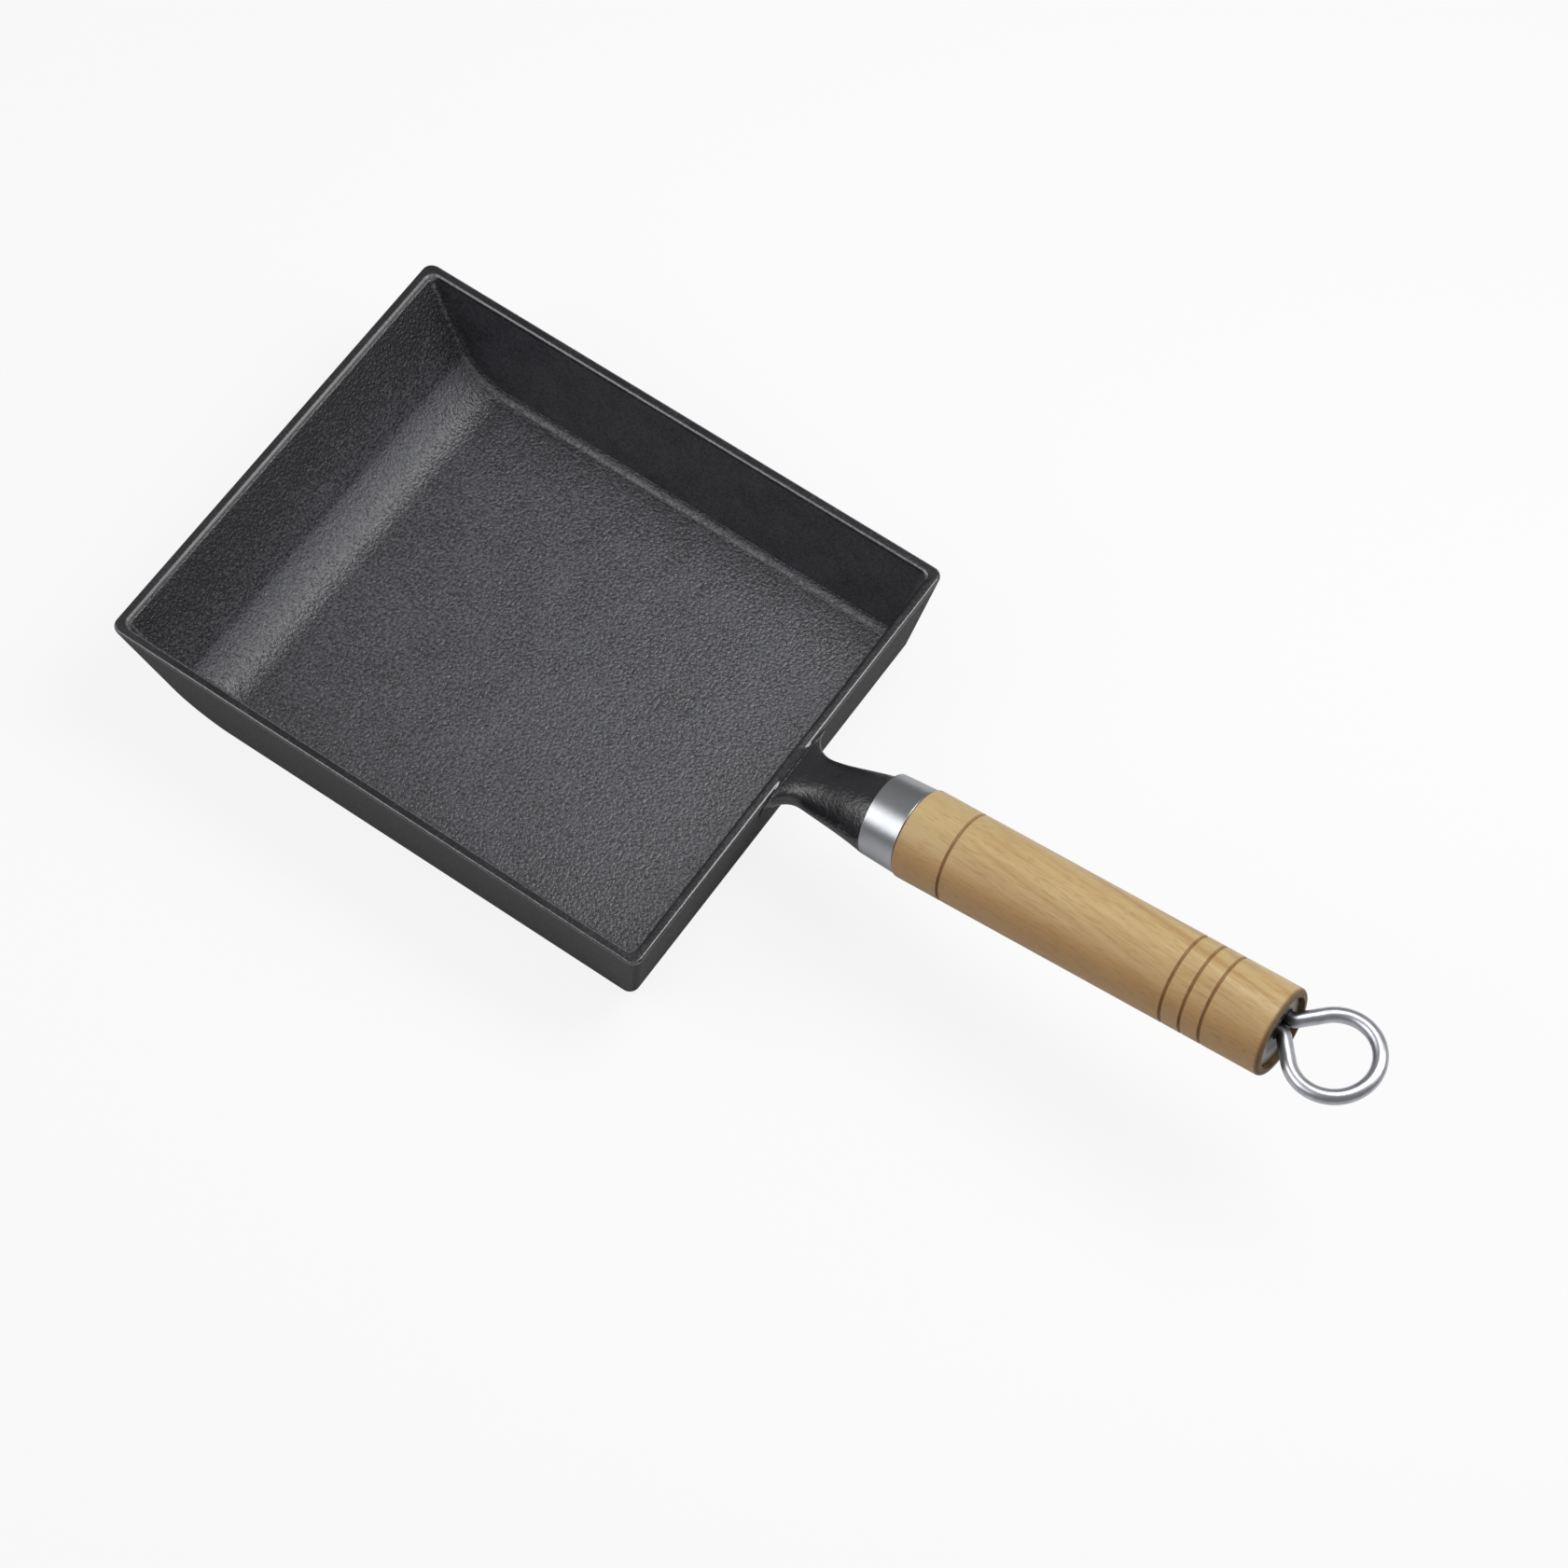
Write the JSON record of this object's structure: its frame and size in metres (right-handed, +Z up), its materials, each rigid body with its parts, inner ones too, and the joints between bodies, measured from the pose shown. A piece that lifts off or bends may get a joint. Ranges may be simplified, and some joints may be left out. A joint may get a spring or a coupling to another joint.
{
  "type": "rectangular omelette pan",
  "caption": "Rectangular cast iron omelette pan with a sloping front wall, a cast neck, a ferrule, a turned wooden grip and a wire hanging loop that screws the grip to the neck.",
  "frame": {"origin": "on the underside of the base, below the middle of the rim", "axes": "+X from the sloping front wall to the handle, +Z up"},
  "size_m": [0.3634, 0.1474, 0.0749],
  "materials": {
    "iron": "seasoned, sand-cast grain",
    "ferrule_steel": "drawn, satin",
    "wood": "turned, bare, with burnt grooves",
    "washer_steel": "dull zinc",
    "wire_steel": "bright plated wire"
  },
  "bodies": {
    "pan": {"pan_casting": "iron", "ferrule": "ferrule_steel", "wooden_grip": "wood"},
    "washer": {"butt_washer": "washer_steel"},
    "loop": {"hanging_loop": "wire_steel"}
  },
  "joints": [
    {"name": "loop_turn", "type": "hinge", "parent": "pan", "child": "washer", "pos_m": [0.0902, 0, 0.0406], "axis": [0.9903, 0, 0.1392], "range_deg": [0, 2979]},
    {"name": "loop_travel", "type": "slide", "parent": "washer", "child": "loop", "axis": [0.9903, 0, 0.1392], "range_m": [0, 0.00577]}
  ],
  "couplings": [
    {"joint": "loop_turn", "follows": "loop_travel", "rad_per_m": 8976}
  ]
}
